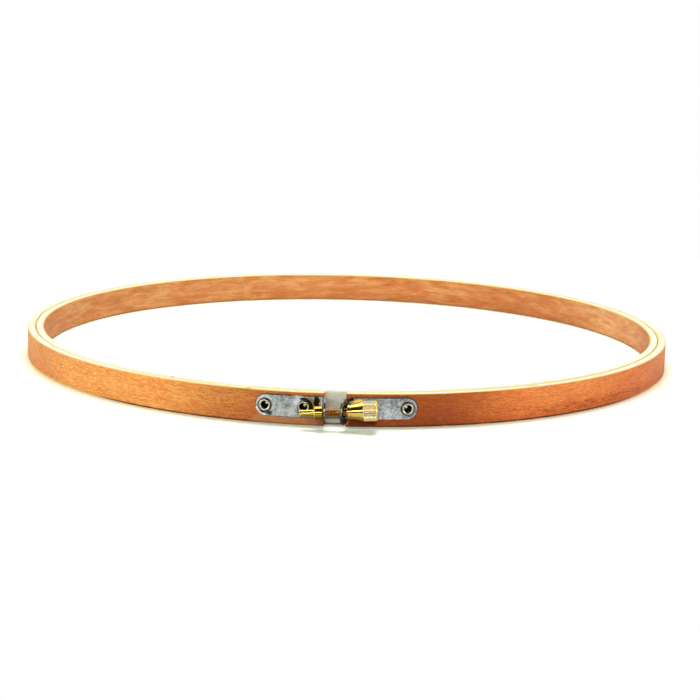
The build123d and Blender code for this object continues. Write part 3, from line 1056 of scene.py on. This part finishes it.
def nut():
    """Round collar nut, chamfered at both ends, with a countersunk bore."""
    far, near, r = NUT_FACE - NUT_LENGTH, NUT_FACE, 2.35
    bore, countersink = 1.4, 1.6
    outline = [(bore, far + 0.15), (1.55, far + 0.02), (countersink, far), (r - 0.34, far),
               (r - 0.28, far + 0.01), (r - 0.04, far + 0.24), (r - 0.005, far + 0.3), (r, far + 0.36),
               (r, far + 1.2), (r, near - 0.24), (r - 0.01, near - 0.15), (r - 0.12, near - 0.03),
               (r - 0.18, near), (countersink, near), (bore, near - 0.1)]
    return lathe(outline, 128, closed=True)


verts, faces, slots = join_parts([(threaded_rod(), 1), (rod_point(), 0), (head(), 0)])
screw = add_object("thumb_screw_turned", verts, faces, [brass, rod_brass], 38, slots)
screw.matrix_world = screw_matrix()
dress(screw, "thumb_screw", "thumb_screw")

collar = add_object("collar_nut_turned", *nut(), [nut_brass], 38)
collar.matrix_world = screw_matrix()
dress(collar, "collar_nut", "collar_nut")


# Camera, fitted to the rings' outlines in the photo
PHOTO_SIZE = 700.0
HOOP_MIDDLE_IN_PHOTO = (346.8, 337.4)
FOCAL_PIXELS = 1852.0
CAMERA_DISTANCE = 767.97
AZIMUTH, ELEVATION, ROLL = radians(1.5), radians(11.15), radians(1.464)
SENSOR = 36.0


def photo_camera():
    """A camera turned so that the hoop's middle comes to its place in the photo."""
    back = Vector((sin(AZIMUTH) * cos(ELEVATION), -cos(AZIMUTH) * cos(ELEVATION), sin(ELEVATION)))
    level_right, forward = Vector((cos(AZIMUTH), sin(AZIMUTH), 0)), -back
    level_up = level_right.cross(forward)
    c, s = cos(ROLL), sin(ROLL)
    dx, dy = (place - PHOTO_SIZE / 2 for place in HOOP_MIDDLE_IN_PHOTO)
    aim = Vector((c * dx + s * dy, s * dx - c * dy, FOCAL_PIXELS)).normalized()
    axis = Vector((0, 0, 1)).cross(aim)
    turn = Matrix.Rotation(atan2(axis.length, aim.z), 3, axis.normalized())
    right, up, ahead = [level_right * row.x + level_up * row.y + forward * row.z for row in turn]
    right, up = right * c + up * s, up * c - right * s
    data = bpy.data.cameras.new("photo_camera")
    data.sensor_width, data.lens = SENSOR, FOCAL_PIXELS * SENSOR / PHOTO_SIZE
    data.clip_start, data.clip_end = 0.01, 50.0
    camera = bpy.data.objects.new("photo_camera", data)
    scene.collection.objects.link(camera)
    place = Matrix.Translation((back * CAMERA_DISTANCE + Vector((0, 0, HEIGHT / 2))) * MM)
    camera.matrix_world = place @ Matrix((right, up, -ahead)).transposed().to_4x4()
    scene.camera = camera


photo_camera()

# Places of the stage, in metres. Two lamps are kept out of reflections, and a white card stands for each.
SCREW_PLACE = (0, -0.135, 0.007)
HOOP_FRONT = (0, -0.13, 0.007)
TOP_LAMP, TOP_CARD = (0, 0.38, 1.3), (0, 0.38, 1.28)
STRIP_LAMP, STRIP_CARD = (-0.24, -1.25, 0.41), (-0.24, -1.24, 0.41)
LEFT_LAMP, RIGHT_LAMP = (-1.35, -0.85, 0.32), (1.35, -0.75, 0.32)


# Floor, cards, world and lamps
def floor_material():
    """Matte white, brighter to the camera so that only deep shadow shows, and plain white far away."""
    sh = Shade("floor_white")
    camera_ray = sh.node("LightPath").outputs["Is Camera Ray"]
    share = sh.times(sh.seen(), sh.ramp(sh.off_axis(sh.place()), 0.16, 0.34))
    matte = sh.node("BsdfDiffuse", {"Color": (0.93, 0.93, 0.925, 1)})
    lift = sh.node("BsdfDiffuse", {"Color": sh.mix(camera_ray, grey(0.0), (0.4, 0.57, 0.35, 1))})
    near = sh.node("AddShader", {0: matte.outputs[0], 1: lift.outputs[0]})
    white = sh.node("Emission", {"Color": grey(1.0), "Strength": 1.0})
    sh.end(sh.node("MixShader", {0: share, 1: near.outputs[0], 2: white.outputs[0]}))
    return sh.material


def facing(place, target):
    """The turn that points a lamp at its target, with local Z away from it."""
    return (Vector(place) - Vector(target)).to_track_quat("Z", "Y")


def stage_plane(name, material, size, place, target=None, steps=8):
    """A flat piece of the studio, facing its target or lying level."""
    verts, faces = [], []
    for i in range(steps + 1):
        for j in range(steps + 1):
            verts.append(((i / steps - 0.5) * size[0] / MM, (j / steps - 0.5) * size[1] / MM, 0))
    for i in range(steps):
        for j in range(steps):
            a = i * (steps + 1) + j
            faces.append((a, a + steps + 1, a + steps + 2, a + 1))
    obj = add_object(name, verts, faces, [material])
    turn = facing(place, target).to_matrix().to_4x4() if target else Matrix.Identity(4)
    obj.matrix_world = Matrix.Translation(place) @ turn
    return obj


def mirrored_plane(name, material, size, place, target=None):
    """A stage plane that only reflections see."""
    card = stage_plane(name, material, size, place, target)
    card.visible_camera = card.visible_diffuse = card.visible_shadow = False


def cloth(sh, dark, pale, threads=900):
    """Fine weave between two tones."""
    return sh.mix(sh.noise(sh.scaled(sh.place(), threads, threads, threads), 2.0), dark, pale)


def black_card(name, size, elevation, azimuth, distance=0.9):
    """A black card, seen from the screw at these angles; azimuth is to the right of the front."""
    sh = Shade(name)
    sh.finish(Base_Color=cloth(sh, grey(0.012), grey(0.02)), Roughness=0.9)
    e, a = radians(elevation), radians(azimuth)
    toward = Vector((sin(a) * cos(e), -cos(a) * cos(e), sin(e)))
    mirrored_plane(name, sh.material, size, Vector(SCREW_PLACE) + toward * distance, SCREW_PLACE)


def white_card(name, level, size, place):
    """A bright sheet in the place of a lamp."""
    sh = Shade(name)
    tone = cloth(sh, grey(0.94), grey(1.0), threads=40)
    sh.end(sh.node("Emission", {"Color": tone, "Strength": level}))
    mirrored_plane(name, sh.material, size, place, HOOP_FRONT)


def dark_table():
    """Dark cloth in front of the hoop, lying flat and turned up at its far end."""
    sh = Shade("dark_table")
    sh.finish(Base_Color=cloth(sh, grey(0.02), grey(0.05)), Roughness=0.9)
    edge_height = 0.0556
    mirrored_plane("dark_table", sh.material, (0.9, 0.45), (0, -0.402, 0.0006))
    mirrored_plane("dark_table_edge", sh.material, (0.9, 0.11), (0, -0.63, edge_height), (0, 0, edge_height))


def shade_card():
    """A painted shadow under the screw that only reflections see: a dark card fading out toward the camera
    and paler on its left.
    """
    sh = Shade("shade_card")
    across, forward = sh.split(sh.scaled(sh.place(), 1 / MM, -1 / MM, 1 / MM))[0:2]
    dark = cloth(sh, (0.15, 0.11, 0.06, 1), (0.19, 0.14, 0.08, 1))
    dark = sh.mix(sh.ramp(across, -2.0, 3.0), (0.34, 0.29, 0.2, 1), dark)
    reach = sh.ramp(across, -2.0, 3.0, 0.0, 18.0)
    tone = sh.mix(sh.ramp(sh.plus(forward, reach), -2.0, 12.0), dark, (0.84, 0.8, 0.72, 1))
    sh.finish(Base_Color=tone, Roughness=0.9)
    mirrored_plane("shade_card", sh.material, (0.027, 0.032), (0.0012, -0.147, 0.0004))


def studio_world():
    """White where it is seen, and only a dim light otherwise."""
    world = bpy.data.worlds.new("studio")
    world.use_nodes = True
    sky = Nodes(world.node_tree, "OutputWorld")
    dim = sky.node("Background", {"Color": grey(1.0), "Strength": 0.13})
    white = sky.node("Background", {"Color": grey(1.0), "Strength": 1.0})
    sky.end(sky.node("MixShader", {0: sky.seen(), 1: dim.outputs[0], 2: white.outputs[0]}))
    scene.world = world


def lamp(name, size, level, place, target=(0, 0, 0), mirrored=True):
    """A rectangular softbox whose own brightness is level times white."""
    data = bpy.data.lights.new(name, "AREA")
    data.shape, data.size, data.size_y = "RECTANGLE", size[0], size[1]
    data.energy = level * pi * size[0] * size[1]
    obj = bpy.data.objects.new(name, data)
    obj.location = place
    obj.rotation_mode = "QUATERNION"
    obj.rotation_quaternion = facing(place, target)
    obj.visible_glossy = mirrored
    scene.collection.objects.link(obj)


stage_plane("floor", floor_material(), (60, 60), (0, 0, 0))
black_card("black_card_high", size=(1.3, 1.1), elevation=60, azimuth=14)
black_card("black_card_left", size=(0.7, 0.46), elevation=38.5, azimuth=-32)
white_card("white_card_top", level=2.5, size=(1.6, 0.95), place=TOP_CARD)
white_card("white_card_front", level=15.0, size=(1.0, 0.055), place=STRIP_CARD)
dark_table()
shade_card()
studio_world()
lamp("top", size=(0.8, 0.62), level=9.5, place=TOP_LAMP, mirrored=False)
lamp("front_strip", size=(1.0, 0.09), level=19.0, place=STRIP_LAMP, target=HOOP_FRONT, mirrored=False)
lamp("key", size=(0.9, 0.5), level=4.1, place=LEFT_LAMP)
lamp("fill", size=(0.9, 0.5), level=4.5, place=RIGHT_LAMP)
